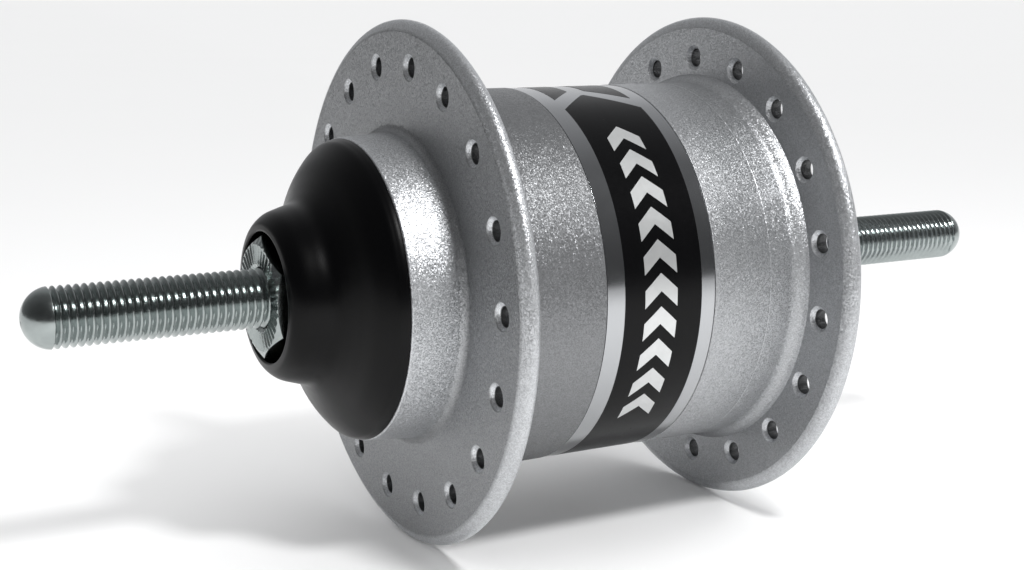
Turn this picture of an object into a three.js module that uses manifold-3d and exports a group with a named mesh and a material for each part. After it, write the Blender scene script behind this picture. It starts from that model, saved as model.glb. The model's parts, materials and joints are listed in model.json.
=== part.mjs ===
// A bicycle hub gear: an internally geared rear hub with three speeds and 36 spoke holes.
// Millimetres. The axle lies along Y with its left (non-drive) end at +Y, X points forward and Z up.
// The origin is on the axle's centre line, midway between its two ends. A positive turn about +Y is forward.
import * as THREE from 'three';
import { mergeVertices } from 'three/addons/utils/BufferGeometryUtils.js';
import Module from 'manifold-3d';

const wasm = await Module();
wasm.setup();

// ---------------------------------------------------------------- driving dimensions

// Axle, M10 x 1.25, and the faces that clamp between the frame's dropouts.
const AXLE_LENGTH = 194;
const AXLE_R = 5;
const AXLE_CORE_R = 5.5;
const AXLE_CORE_HALF = 36;
const OVER_LOCKNUTS = 117;
const LOCKNUT_THICK = 6;
const LOCKNUT_FLATS = 18;
const THREAD_GAP = 0.15;
const WASHER_R = 8.5;
const LEFT_WASHER = [50.1, 52.4];
const RIGHT_WASHER = [-52.4, -50.6];
const LEFT_CONE = { from: 37, to: 50, shoulderR: 11.2, shoulderEnd: 45.5, neckR: 8.8, neckFrom: 46.5 };
const RIGHT_CONE = { from: -40, to: -50.5, shoulderR: 9.6, shoulderEnd: -47.6, neckR: 8, neckFrom: -47.9 };

// Shell: two spoke flanges on a wide barrel.
const SPOKES_PER_FLANGE = 18;
const SPOKE_CIRCLE_R = 38;
const SPOKE_HOLE_R = 1.6;
const LEFT_FIRST_HOLE_DEG = 1.54;
const RIGHT_FIRST_HOLE_DEG = 11.54;
const FLANGE_R = 45.5;
const FLANGE_OUT = 33;
const FLANGE_THICK = 3.5;
const BARREL_R = 33.4;
const BARREL_BORE_R = 30;
const LABEL_FROM = -10.6;
const LABEL_TO = 11;
const LABEL_SEAT_R = 33;
const BOSS_R = 26;
const BOSS_END = 42.4;
const SPIGOT_R = 24.1;
const SPIGOT_END = 44;

// Seats inside the shell, from the left: the ball cup, a web, the low ratchet and the right ball ring.
const LEFT_CUP = { r: 20, from: 35, to: 43.5, bore: 9.2 };
const SHELL_WEB = { bore: 16.8, from: 32, to: 34.7 };
const LOW_RATCHET_RING = { r: 22.5, from: 26.5, to: 31.5 };
const BORE_CHAMFER = 2.5;
const BALL_RING = {
  bore: 18.6, r: 29.8, flangeR: 31.5, face: -36, flangeEnd: -31.2,
  ratchetFrom: -28.5, ratchetTo: -19, ratchetBore: 23,
};
const BALL_RING_SEAT = { r: 31.8, y: -31 };

// Gear train: a fixed sun, four planets and a ring.
const MODULE = 0.75;
const SUN_TEETH = 20;
const PLANET_TEETH = 20;
const RING_TEETH = SUN_TEETH + 2 * PLANET_TEETH;
const PLANETS = 4;
const PRESSURE_ANGLE = THREE.MathUtils.degToRad(20);
const ADDENDUM = 0.6;
const DEDENDUM = 0.9;
const BACKLASH = 0.2;
const GEAR_FROM = 4;
const GEAR_TO = 20;
const SUN_PITCH_R = (MODULE * SUN_TEETH) / 2;
const PLANET_PITCH_R = (MODULE * PLANET_TEETH) / 2;
const RING_PITCH_R = (MODULE * RING_TEETH) / 2;
const PLANET_CIRCLE_R = SUN_PITCH_R + PLANET_PITCH_R;
const PLANET_PIN = { r: 2.4, from: -5, to: 24.4 };
const RUNNING_GAP = 0.2;
const RING = { r: 25.8, bore: 20.2, from: -26, to: 21, teethFrom: 3, reliefR: 21.3, reliefFrom: -2 };
const CARRIER = {
  plateR: 20.8, plateBore: 9.5, rightPlate: [-0.5, 3.5], leftPlate: [20.5, 24.5],
  hubR: 14.5, hubBore: 6, hubEnd: 32.2, pillarR: 2.6, pillarCircle: 17.4,
};

// Ball bearings: circle of ball centres, its place along the axle, ball radius, number of balls.
const BALL_GAP = 0.2;
const LEFT_RACE = { circle: 11.5, y: 40, ball: 3, count: 9, open: 1 };
const RIGHT_RACE = { circle: 10, y: -44, ball: 2.38, count: 9, open: -1 };
const BALL_RING_RACE = { circle: 20.5, y: -34, ball: 2.38, count: 12, open: -1 };

// Driver, clutch and the rod that shifts it.
const DRIVER_TUBE = { r: 17.6, bore: 15.5, end: -6.2, raceEnd: -22, boreEnd: -21 };
const DRIVER_BODY = {
  bore: 8.6, innerR: 14, innerFrom: -38.5, shoulderR: 22.3, shoulderEnd: -40, collarR: 20.5,
};
const SPROCKET_SEAT = { r: 17.3, shoulder: -43, end: -50, notches: 3, notchWidth: 4, notchDeg: 30 };
const SNAP_GROOVE = { depth: 1.1, from: -48.6, to: -47.2 };
const SNAP_RING = { in: 1, out: 1.5, from: -48.5, to: -47.3 };
const DUST_CAP = { bore: 8.6, r: 14.3, face: -49.9, back: -48.7 };
const DUST_CAP_SEAT_R = 14.5;
const CLUTCH = { y: -12, thick: 4, armWidth: 5.4, tipR: 19.6, hubR: 12, bore: 6.4, recessR: 8.9, floor: 0.4 };
const ARM_SLOT = { from: -20, to: -5, gap: 0.5 };
const CLUTCH_DOG = { turn: 14.5, width: 3.2, from: -17, to: -6, inner: 18.7 };
const CLUTCH_SPRING = { wireR: 0.6, wireSides: 5, coilR: 9.6, turns: 5, from: -37.4, to: -19, steps: 45 };
const ROD_R = 1.6;
const ROD_FROM = -93;
const KEY = 3;
const KEY_HALF = 8.6;
const KEY_SLOT = { gap: 0.4, from: -17.6, to: -6.2 };
const ROD_BORE = { gap: 0.3, to: -10 };

// Ratchets. A pawl is described lying flat: its heel, its pin, and the outer corner of its tip.
// Its pin runs from pinFrom to pinTo.
const HIGH_PAWL = {
  pivot: 23.2, pin: 1, heel: 2, tip: [8.1, 1.3], under: [8.05, -0.4], lift: 13.4,
  from: -24.6, to: -20.4, pinFrom: -25.9, pinTo: -18.9,
};
const LOW_PAWL = {
  pivot: 12.6, pin: 0.9, heel: 1.9, tip: [7, 2.4], under: [7, 0.6], lift: 0,
  from: 27.1, to: 30.9, pinFrom: 25.3, pinTo: 32.1,
};
const HIGH_RATCHET = { teeth: 20, tip: 26.1, root: 27.9, face: 18.3, faceRoot: 16.3 };
const LOW_RATCHET = { teeth: 16, tip: 17.2, root: 18.4, face: 23.3, faceRoot: 21.1 };
const PAWL_ROOM = 0.3;
const PIN_GAP = 0.15;
const PAWL_SPRING = { slotHalf: 0.8, half: 0.5, gap: 0.12, wire: 0.5, leg: 1.3, legThick: 0.4 };

// How finely round bodies are divided.
const SHELL_SIDES = 40;
const TURNED_SIDES = 32;
const AXLE_SIDES = 20;
const PIN_SIDES = 12;
const SMALL_PIN_SIDES = 8;
const SPOKE_HOLE_SIDES = 6;

// ---------------------------------------------------------------- geometry helpers

const degrees = THREE.MathUtils.degToRad;
const polar = (r, angle) => [r * Math.cos(angle), r * Math.sin(angle)];

// A closed geometry as a solid that can be joined and cut, with its faces turned outwards.
function toSolid(geometry) {
  const bare = geometry.clone();
  bare.deleteAttribute('normal');
  bare.deleteAttribute('uv');
  const merged = mergeVertices(bare, 1e-4);
  const corners = merged.attributes.position;
  const points = [new THREE.Vector3(), new THREE.Vector3(), new THREE.Vector3()];
  const triangles = [];
  let volume = 0;
  for (let i = 0; i < merged.index.count; i += 3) {
    const [a, b, c] = [0, 1, 2].map((k) => merged.index.getX(i + k));
    if (a === b || b === c || c === a) continue;
    triangles.push([a, b, c]);
    [a, b, c].forEach((corner, k) => points[k].fromBufferAttribute(corners, corner));
    volume += points[0].dot(points[1].cross(points[2]));
  }
  const outward = volume > 0 ? triangles : triangles.map(([a, b, c]) => [a, c, b]);
  return new wasm.Manifold(new wasm.Mesh({
    numProp: 3,
    vertProperties: new Float32Array(corners.array),
    triVerts: new Uint32Array(outward.flat()),
  }));
}

function toGeometry(solid) {
  const mesh = solid.getMesh();
  const geometry = new THREE.BufferGeometry();
  geometry.setAttribute('position', new THREE.BufferAttribute(new Float32Array(mesh.vertProperties), 3));
  geometry.setIndex(new THREE.BufferAttribute(new Uint32Array(mesh.triVerts), 1));
  return geometry;
}

const join = (...shapes) => toGeometry(shapes.map(toSolid).reduce((a, b) => a.add(b)));
const cut = (base, ...tools) => toGeometry(tools.map(toSolid).reduce((a, b) => a.subtract(b), toSolid(base)));

// A body turned about the axle, from its outline in [radius, y] points.
function turned(outline, sides = TURNED_SIDES) {
  const points = outline.map(([r, y]) => new THREE.Vector2(r, y));
  const closesOnAxis = outline[0][0] === 0 && outline.at(-1)[0] === 0;
  if (!closesOnAxis) points.push(points[0].clone());
  return new THREE.LatheGeometry(points, sides);
}

const tube = (inner, outer, from, to, sides = TURNED_SIDES) =>
  turned([[inner, from], [outer, from], [outer, to], [inner, to]], sides);

const rod = (r, from, to, sides = PIN_SIDES) => turned([[0, from], [r, from], [r, to], [0, to]], sides);

function anticlockwise(outline) {
  const points = outline.map(([a, b]) => new THREE.Vector2(a, b));
  return THREE.ShapeUtils.isClockWise(points) ? points.reverse() : points;
}

// A flat outline carried along the axle. An angle in the outline is the same turn about +Y.
function prism(outline, from, to, holes = []) {
  const shape = new THREE.Shape(anticlockwise(outline));
  shape.holes = holes.map((hole) => new THREE.Path(anticlockwise(hole)));
  const geometry = new THREE.ExtrudeGeometry(shape, { depth: to - from, bevelEnabled: false });
  return geometry.rotateX(-Math.PI / 2).translate(0, from, 0);
}

const circle = (r, sides, start = 0) =>
  Array.from({ length: sides }, (_, i) => polar(r, start + (2 * Math.PI * i) / sides));

const block = (width, from, to, low, high) =>
  new THREE.BoxGeometry(high - low, to - from, width).translate((high + low) / 2, (from + to) / 2, 0);

// One copy of a geometry at each of count even steps about the axle.
const around = (count, make, start = 0) =>
  Array.from({ length: count }, (_, i) => make().rotateY(start + (2 * Math.PI * i) / count));

// ---------------------------------------------------------------- gear teeth and ratchets

const involute = (angle) => Math.tan(angle) - angle;

// Outline of a gear's teeth, the first one centred on angle zero. Thicker teeth cut a ring gear's spaces.
function toothOutline(teeth, tipR, rootR, widen) {
  const pitchR = (MODULE * teeth) / 2;
  const baseR = pitchR * Math.cos(PRESSURE_ANGLE);
  const halfTooth = (r) => {
    const pressure = Math.acos(Math.min(1, baseR / r));
    return Math.PI / (2 * teeth) + involute(PRESSURE_ANGLE) - involute(pressure) + widen / (2 * pitchR);
  };
  const flank = [rootR, pitchR, tipR];
  const outline = [];
  for (let i = 0; i < teeth; i += 1) {
    const middle = (2 * Math.PI * i) / teeth;
    flank.forEach((r) => outline.push(polar(r, middle - halfTooth(r))));
    flank.slice().reverse().forEach((r) => outline.push(polar(r, middle + halfTooth(r))));
  }
  return outline;
}

// Inner outline of a ratchet ring: each tooth rises slowly and ends in a steep, slightly undercut face.
function ratchetOutline({ teeth, tip, root, face, faceRoot }) {
  const outline = [];
  for (let i = 0; i < teeth; i += 1) {
    const turn = degrees((360 * i) / teeth);
    outline.push(polar(root, turn + degrees(faceRoot)));
    outline.push(polar(tip, turn + degrees(face)));
  }
  return outline;
}

// Places a point given from a pawl's pin: first along the direction of turn, then outwards.
// The pin sits on the angle-zero line of the prism's plane.
const fromPin = (pawl, [along, out]) => [pawl.pivot + out, along];

function pawlOutline(pawl) {
  const heel = Array.from({ length: 9 }, (_, i) => polar(pawl.heel, -Math.PI / 2 - (Math.PI * i) / 8));
  return [...heel, pawl.tip, pawl.under];
}

function makePawl(pawl) {
  const flat = pawlOutline(pawl);
  const lift = degrees(pawl.lift);
  const lifted = flat.map(([along, out]) => [
    along * Math.cos(lift) - out * Math.sin(lift),
    along * Math.sin(lift) + out * Math.cos(lift),
  ]);
  const pinHole = circle(pawl.pin + PIN_GAP, SMALL_PIN_SIDES).map((point) => fromPin(pawl, point));
  const body = prism(lifted.map((point) => fromPin(pawl, point)), pawl.from, pawl.to, [pinHole]);
  const middle = (pawl.from + pawl.to) / 2;
  const reach = 2 * pawl.heel;
  const slotEnd = pawl.heel - 0.05;
  const slot = [[-reach, -reach], [-reach, reach], [slotEnd, reach], [slotEnd, -reach]];
  const half = PAWL_SPRING.slotHalf;
  return cut(body, prism(slot.map((point) => fromPin(pawl, point)), middle - half, middle + half));
}

// The pocket that a pawl swings in, open outwards.
function pawlPocket(pawl) {
  const open = 8;
  const heel = Array.from({ length: 7 }, (_, i) =>
    polar(pawl.heel + PAWL_ROOM, -Math.PI / 2 - (Math.PI * i) / 12));
  const [endAlong, endOut] = pawl.under;
  const outline = [
    ...heel,
    [-pawl.heel - PAWL_ROOM, open],
    [endAlong + 1, open],
    [endAlong + 1, endOut - PAWL_ROOM],
  ];
  const side = PAWL_ROOM / 2;
  return prism(outline.map((point) => fromPin(pawl, point)), pawl.from - side, pawl.to + side);
}

// The pockets and pin holes for a pair of opposite pawls.
const pawlRooms = (pawl) => [0, 180].flatMap((turn) => [
  pawlPocket(pawl).rotateY(degrees(turn)),
  rod(pawl.pin + PIN_GAP, pawl.pinFrom - 0.1, pawl.pinTo + 0.1, SMALL_PIN_SIDES)
    .translate(pawl.pivot, 0, 0).rotateY(degrees(turn)),
]);

function makePawlSpring(pawl) {
  const middle = (pawl.from + pawl.to) / 2;
  const { half, gap, wire, leg, legThick } = PAWL_SPRING;
  const inner = pawl.pin + gap;
  const outer = inner + wire;
  const coil = prism(
    circle(outer, PIN_SIDES).map((point) => fromPin(pawl, point)), middle - half, middle + half,
    [circle(inner, PIN_SIDES).map((point) => fromPin(pawl, point))],
  );
  const legOutline = [[-leg, -outer], [-leg, -outer + legThick], [0, -outer + legThick], [0, -outer]];
  return join(coil, prism(legOutline.map((point) => fromPin(pawl, point)), middle - half, middle + half));
}

// ---------------------------------------------------------------- bearings

// Corners of the outer race in [radius, y]: wall, 45 degree contact face, and the web behind the balls.
function cupCorners({ circle: ringR, y, ball, open }) {
  const reach = ball + BALL_GAP;
  const bite = reach * Math.SQRT2 - reach;
  return {
    wall: ringR + reach,
    wallEnd: y - open * bite,
    webInner: ringR + bite,
    web: y - open * reach,
  };
}

// The same for the inner race, which meets the balls from the open side.
function coneCorners({ circle: ringR, y, ball, open }) {
  const reach = ball + BALL_GAP;
  const bite = reach * Math.SQRT2 - reach;
  return {
    wall: ringR - reach,
    wallEnd: y + open * bite,
    shoulderInner: ringR - bite,
    shoulder: y + open * reach,
  };
}

function makeCagedBalls({ circle: ringR, y, ball, count }) {
  const ringHalf = 0.6;
  const ringWidth = ball * 0.4;
  const cage = tube(ringR - ringWidth, ringR + ringWidth, y - ringHalf, y + ringHalf, count * 2);
  return join(cage, ...around(count, () => new THREE.SphereGeometry(ball, 8, 4).translate(ringR, y, 0)));
}

// ---------------------------------------------------------------- shell and what turns with it

function spokeHole() {
  const middle = FLANGE_OUT - FLANGE_THICK / 2;
  const hole = rod(SPOKE_HOLE_R, middle - FLANGE_THICK, middle + FLANGE_THICK, SPOKE_HOLE_SIDES);
  return hole.translate(SPOKE_CIRCLE_R, 0, 0);
}

// The rim of a flange in [radius, y], a half circle between its two faces, on the side given by sign.
function flangeRim(sign) {
  const half = FLANGE_THICK / 2;
  const middle = FLANGE_OUT - half;
  return [-90, -35, 35, 90].map((angle) => {
    const [out, along] = polar(half, degrees(angle));
    return [FLANGE_R - half + out, sign * middle + along];
  });
}

function makeHubShell() {
  const flangeIn = FLANGE_OUT - FLANGE_THICK;
  const cupBore = LEFT_CUP.r + THREAD_GAP;
  const ratchetBore = LOW_RATCHET_RING.r + THREAD_GAP;
  const outline = [
    [BARREL_BORE_R, BALL_RING_SEAT.y],
    [BALL_RING_SEAT.r, BALL_RING_SEAT.y],
    [BALL_RING_SEAT.r, -FLANGE_OUT],
    ...flangeRim(-1),
    [BARREL_R + 1.4, -flangeIn],
    [BARREL_R + 0.4, -flangeIn + 1.7],
    [BARREL_R, -flangeIn + 7],
    [BARREL_R, LABEL_FROM],
    [LABEL_SEAT_R, LABEL_FROM],
    [LABEL_SEAT_R, LABEL_TO],
    [BARREL_R, LABEL_TO],
    [BARREL_R, flangeIn - 7],
    [BARREL_R + 0.4, flangeIn - 1.7],
    [BARREL_R + 1.4, flangeIn],
    ...flangeRim(1),
    [BOSS_R + 1.2, FLANGE_OUT],
    [BOSS_R + 0.4, FLANGE_OUT + 1.2],
    [BOSS_R, BOSS_END],
    [SPIGOT_R, BOSS_END],
    [SPIGOT_R, SPIGOT_END],
    [cupBore, SPIGOT_END],
    [cupBore, SHELL_WEB.to],
    [SHELL_WEB.bore, SHELL_WEB.to],
    [SHELL_WEB.bore, SHELL_WEB.from],
    [ratchetBore, SHELL_WEB.from],
    [ratchetBore, LOW_RATCHET_RING.from],
    [BARREL_BORE_R - BORE_CHAMFER, LOW_RATCHET_RING.from],
    [BARREL_BORE_R, LOW_RATCHET_RING.from - BORE_CHAMFER],
  ];
  // Hole angles are counted from -X towards +Z.
  const left = around(SPOKES_PER_FLANGE, spokeHole, degrees(180 + LEFT_FIRST_HOLE_DEG));
  const toRightFlange = () => spokeHole().translate(0, -2 * FLANGE_OUT + FLANGE_THICK, 0);
  const right = around(SPOKES_PER_FLANGE, toRightFlange, degrees(180 + RIGHT_FIRST_HOLE_DEG));
  return cut(turned(outline, SHELL_SIDES), ...left, ...right);
}

function makeLabelBand() {
  const edge = 0.1;
  const [inner, outer] = [LABEL_SEAT_R + 0.05, LABEL_SEAT_R + 0.35];
  return tube(inner, outer, LABEL_FROM + edge, LABEL_TO - edge, SHELL_SIDES);
}

// A thin pressed bell: its rim sits over the shell's spigot and its neck stands round the locknut.
function makeLeftDustCover() {
  const rimBore = SPIGOT_R + THREAD_GAP;
  const rimFloor = SPIGOT_END + THREAD_GAP;
  const outside = [
    [25.76, 42.55], [24.8, 44.6], [22.2, 46.7], [19.3, 48.2], [17.1, 49.45],
    [15.6, 50.8], [14.88, 53.04], [14.04, 55.47], [12.67, 57.06], [11.1, 57.5],
  ];
  const inside = [
    [11.1, 56.2], [12.9, 54.6], [13.6, 52], [14.4, 50.2], [16, 48.6],
    [18.2, 47.2], [21, 45.6], [22.4, rimFloor], [rimBore, rimFloor], [rimBore, 42.55],
  ];
  return turned([...outside, ...inside]);
}

function makeLeftBallCup() {
  const race = cupCorners(LEFT_RACE);
  const { r, from, to, bore } = LEFT_CUP;
  return turned([
    [bore, from], [r, from], [r, to], [race.wall, to],
    [race.wall, race.wallEnd], [race.webInner, race.web], [bore, race.web],
  ]);
}

function makeLowRatchetRing() {
  const { r, from, to } = LOW_RATCHET_RING;
  return prism(circle(r, SHELL_SIDES), from, to, [ratchetOutline(LOW_RATCHET)]);
}

function makeRightBallRing() {
  const race = cupCorners(BALL_RING_RACE);
  const { bore, r, flangeR, face, flangeEnd, ratchetFrom, ratchetTo, ratchetBore } = BALL_RING;
  const body = turned([
    [bore, race.web], [race.webInner, race.web], [race.wall, race.wallEnd], [race.wall, face],
    [flangeR, face], [flangeR, flangeEnd], [r, flangeEnd], [r, ratchetTo],
    [ratchetBore, ratchetTo], [ratchetBore, ratchetFrom], [bore, ratchetFrom],
  ]);
  return cut(body, prism(ratchetOutline(HIGH_RATCHET), ratchetFrom, ratchetTo + 1));
}

// ---------------------------------------------------------------- axle and what is fixed to it

function makeAxle() {
  const half = AXLE_LENGTH / 2;
  const dome = [0, 30, 60, 90].map((angle) => {
    const [out, along] = polar(AXLE_R, degrees(90 - angle));
    return [angle === 0 ? 0 : out, half - AXLE_R + along];
  });
  const rightEnd = dome.map(([r, y]) => [r, -y]);
  const body = turned([
    ...rightEnd,
    [AXLE_R, -AXLE_CORE_HALF], [AXLE_CORE_R, -AXLE_CORE_HALF],
    [AXLE_CORE_R, AXLE_CORE_HALF], [AXLE_R, AXLE_CORE_HALF],
    ...dome.reverse(),
  ], AXLE_SIDES);
  const keySlot = block(KEY + KEY_SLOT.gap, KEY_SLOT.from, KEY_SLOT.to, -2 * AXLE_R, 2 * AXLE_R);
  return cut(body, rod(ROD_R + ROD_BORE.gap, -half - 1, ROD_BORE.to), keySlot);
}

// A hexagon nut with corners up and down, bored for the axle, its outer corners turned off.
function makeLocknut(sign) {
  const across = LOCKNUT_FLATS / Math.sqrt(3);
  const face = OVER_LOCKNUTS / 2;
  const back = face - LOCKNUT_THICK;
  const [from, to] = sign > 0 ? [back, face] : [-face, -back];
  return prism(circle(across, 6, Math.PI / 2), from, to, [circle(AXLE_R + THREAD_GAP, AXLE_SIDES)]);
}

const makeWasher = ([from, to]) => tube(AXLE_R + THREAD_GAP, WASHER_R, from, to, AXLE_SIDES);

function makeCone(race, cone) {
  const { wall, wallEnd, shoulderInner, shoulder } = coneCorners(race);
  return turned([
    [AXLE_R + THREAD_GAP, cone.from], [wall, cone.from], [wall, wallEnd], [shoulderInner, shoulder],
    [cone.shoulderR, shoulder], [cone.shoulderR, cone.shoulderEnd], [cone.neckR, cone.neckFrom],
    [cone.neckR, cone.to], [AXLE_R + THREAD_GAP, cone.to],
  ], AXLE_SIDES);
}

function makeSunGear() {
  const outline = toothOutline(SUN_TEETH, SUN_PITCH_R + ADDENDUM, SUN_PITCH_R - DEDENDUM, -BACKLASH);
  return prism(outline, GEAR_FROM, GEAR_TO, [circle(AXLE_CORE_R + 0.1, AXLE_SIDES)]);
}

// ---------------------------------------------------------------- gear train

function makePlanetGear() {
  const outline = toothOutline(PLANET_TEETH, PLANET_PITCH_R + ADDENDUM, PLANET_PITCH_R - DEDENDUM, -BACKLASH);
  return prism(outline, GEAR_FROM, GEAR_TO, [circle(PLANET_PIN.r + RUNNING_GAP, PIN_SIDES)]);
}

const makePlanetPin = () => rod(PLANET_PIN.r, PLANET_PIN.from, PLANET_PIN.to);

function makePlanetCarrier() {
  const { plateR, plateBore, rightPlate, leftPlate, hubR, hubBore, hubEnd, pillarR, pillarCircle } = CARRIER;
  const plates = [rightPlate, leftPlate].map(([from, to]) => tube(plateBore, plateR, from, to));
  const closeLeft = tube(hubBore, hubR, leftPlate[0], hubEnd);
  const [pillarFrom, pillarTo] = [rightPlate[1] - 0.5, leftPlate[0] + 0.5];
  const makePillar = () => rod(pillarR, pillarFrom, pillarTo, 10).translate(pillarCircle, 0, 0);
  const pillars = around(PLANETS, makePillar, degrees(180 / PLANETS));
  const [holeFrom, holeTo] = [rightPlate[0] - 1.5, leftPlate[1] + 1.5];
  const makePinHole = () => rod(PLANET_PIN.r + 0.1, holeFrom, holeTo).translate(PLANET_CIRCLE_R, 0, 0);
  const pinHoles = around(PLANETS, makePinHole);
  return cut(join(...plates, closeLeft, ...pillars), ...pinHoles, ...pawlRooms(LOW_PAWL));
}

function makeRingGear() {
  const { r, bore, from, to, teethFrom, reliefR, reliefFrom } = RING;
  const tipR = RING_PITCH_R - ADDENDUM;
  const body = turned([
    [bore, from], [r, from], [r, to], [tipR, to],
    [tipR, teethFrom], [reliefR, teethFrom], [reliefR, reliefFrom], [bore, reliefFrom],
  ]);
  const spaces = toothOutline(RING_TEETH, RING_PITCH_R + DEDENDUM, tipR - 0.3, BACKLASH);
  const teeth = prism(spaces, teethFrom, to + 1).rotateY(Math.PI / RING_TEETH);
  const dogs = around(PLANETS, makeClutchDog, degrees(CLUTCH_DOG.turn));
  return join(cut(body, teeth, ...pawlRooms(HIGH_PAWL)), ...dogs);
}

// The dogs sit just ahead of the clutch's arms, which push them round.
function makeClutchDog() {
  const { width, from, to, inner } = CLUTCH_DOG;
  return block(width, from, to, inner, RING.bore + 0.4);
}

// ---------------------------------------------------------------- driver and clutch

function makeDriver() {
  const race = coneCorners(BALL_RING_RACE);
  const cup = cupCorners(RIGHT_RACE);
  const { bore, innerR, innerFrom, shoulderR, shoulderEnd, collarR } = DRIVER_BODY;
  const seat = SPROCKET_SEAT;
  const grooveR = seat.r - SNAP_GROOVE.depth;
  const body = turned([
    [DRIVER_TUBE.bore, DRIVER_TUBE.end], [DRIVER_TUBE.r, DRIVER_TUBE.end],
    [DRIVER_TUBE.r, DRIVER_TUBE.raceEnd], [race.wall, DRIVER_TUBE.raceEnd],
    [race.wall, race.wallEnd], [race.shoulderInner, race.shoulder],
    [shoulderR, race.shoulder], [shoulderR, shoulderEnd], [collarR, shoulderEnd], [collarR, seat.shoulder],
    [seat.r, seat.shoulder], [seat.r, SNAP_GROOVE.to], [grooveR, SNAP_GROOVE.to], [grooveR, SNAP_GROOVE.from],
    [seat.r, SNAP_GROOVE.from], [seat.r, seat.end], [DUST_CAP_SEAT_R, seat.end],
    [DUST_CAP_SEAT_R, SNAP_GROOVE.from], [cup.wall, SNAP_GROOVE.from], [cup.wall, cup.wallEnd],
    [cup.webInner, cup.web], [bore, cup.web], [bore, innerFrom], [innerR, innerFrom],
    [innerR, DRIVER_TUBE.boreEnd], [DRIVER_TUBE.bore, DRIVER_TUBE.boreEnd],
  ]);
  const slotWidth = CLUTCH.armWidth + ARM_SLOT.gap;
  const makeArmSlot = () => block(slotWidth, ARM_SLOT.from, ARM_SLOT.to, innerR, DRIVER_TUBE.r + 1.4);
  const [notchFrom, notchTo] = [SNAP_GROOVE.to, seat.shoulder + 0.05];
  const makeNotch = () => block(seat.notchWidth, notchFrom, notchTo, seat.r - 1.2, seat.r + 0.7);
  const notches = around(seat.notches, makeNotch, degrees(seat.notchDeg));
  return cut(body, ...around(PLANETS, makeArmSlot), ...notches);
}

function makeClutch() {
  const { y, thick, armWidth, tipR, hubR, bore, recessR, floor } = CLUTCH;
  const [from, to] = [y - thick / 2, y + thick / 2];
  const arms = around(PLANETS, () => block(armWidth, from, to, hubR - 1, tipR));
  const hubOutline = [
    [bore, from], [hubR, from], [hubR, to], [recessR, to], [recessR, from + floor], [bore, from + floor],
  ];
  return join(turned(hubOutline), ...arms);
}

class Helix extends THREE.Curve {
  constructor(radius, turns, from, to) {
    super();
    Object.assign(this, { radius, turns, from, to });
  }

  getPoint(t, target = new THREE.Vector3()) {
    const angle = 2 * Math.PI * this.turns * t;
    return target.set(
      this.radius * Math.cos(angle), this.from + (this.to - this.from) * t, this.radius * Math.sin(angle),
    );
  }
}

function makeClutchSpring() {
  const { wireR, wireSides, coilR, turns, from, to, steps } = CLUTCH_SPRING;
  const wire = new THREE.Shape(circle(wireR, wireSides).map(([a, b]) => new THREE.Vector2(a, b)));
  const path = new Helix(coilR, turns, from, to);
  return new THREE.ExtrudeGeometry(wire, { steps, bevelEnabled: false, extrudePath: path });
}

function makeSprocketRing() {
  const outer = circle(SPROCKET_SEAT.r + SNAP_RING.out, TURNED_SIDES);
  const inner = circle(SPROCKET_SEAT.r - SNAP_RING.in, TURNED_SIDES);
  return prism(outer, SNAP_RING.from, SNAP_RING.to, [inner]);
}

function makeDriverDustCap() {
  const { bore, r, face, back } = DUST_CAP;
  return turned([[bore, face], [r, face], [r, back], [bore + 1, back], [bore, back - 0.5]], AXLE_SIDES);
}

const makeSelectorRod = () => rod(ROD_R, ROD_FROM, CLUTCH.y - KEY / 2);

function makeAxleKey() {
  const from = CLUTCH.y - KEY / 2 + 0.1;
  return block(KEY, from, from + KEY, -KEY_HALF, KEY_HALF);
}

// ---------------------------------------------------------------- assembly

const hub = new THREE.Group();

const STEEL = [0xb9bdc0, 0.35, 1];
const ZINC = [0xc8d0d2, 0.3, 1];
const HARD_STEEL = [0x8e9296, 0.3, 1];
const PAINT = [0xa3a7ab, 0.42, 0.85];
const BLACK_PLASTIC = [0x17181a, 0.45, 0];
const FOIL = [0xc3c6c9, 0.28, 0.9];

function place(name, geometry, [color, roughness, metalness], { turn = 0, shift = [0, 0, 0] } = {}) {
  const material = new THREE.MeshStandardMaterial({ color, roughness, metalness });
  const mesh = new THREE.Mesh(join(geometry), material);
  mesh.name = name;
  mesh.position.set(...shift);
  mesh.rotation.y = degrees(turn);
  hub.add(mesh);
}

// Fixed to the frame.
place('axle', makeAxle(), ZINC);
place('left_locknut', makeLocknut(1), ZINC);
place('right_locknut', makeLocknut(-1), ZINC);
place('left_washer', makeWasher(LEFT_WASHER), ZINC);
place('right_washer', makeWasher(RIGHT_WASHER), ZINC);
place('left_cone', makeCone(LEFT_RACE, LEFT_CONE), HARD_STEEL);
place('right_cone', makeCone(RIGHT_RACE, RIGHT_CONE), HARD_STEEL);
place('sun_gear', makeSunGear(), HARD_STEEL);
place('clutch_spring', makeClutchSpring(), STEEL);

// Turning with the wheel.
place('hub_shell', makeHubShell(), PAINT);
place('label_band', makeLabelBand(), FOIL);
place('left_dust_cover', makeLeftDustCover(), BLACK_PLASTIC);
place('left_ball_cup', makeLeftBallCup(), HARD_STEEL);
place('low_ratchet_ring', makeLowRatchetRing(), HARD_STEEL);
place('right_ball_ring', makeRightBallRing(), HARD_STEEL);

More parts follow.
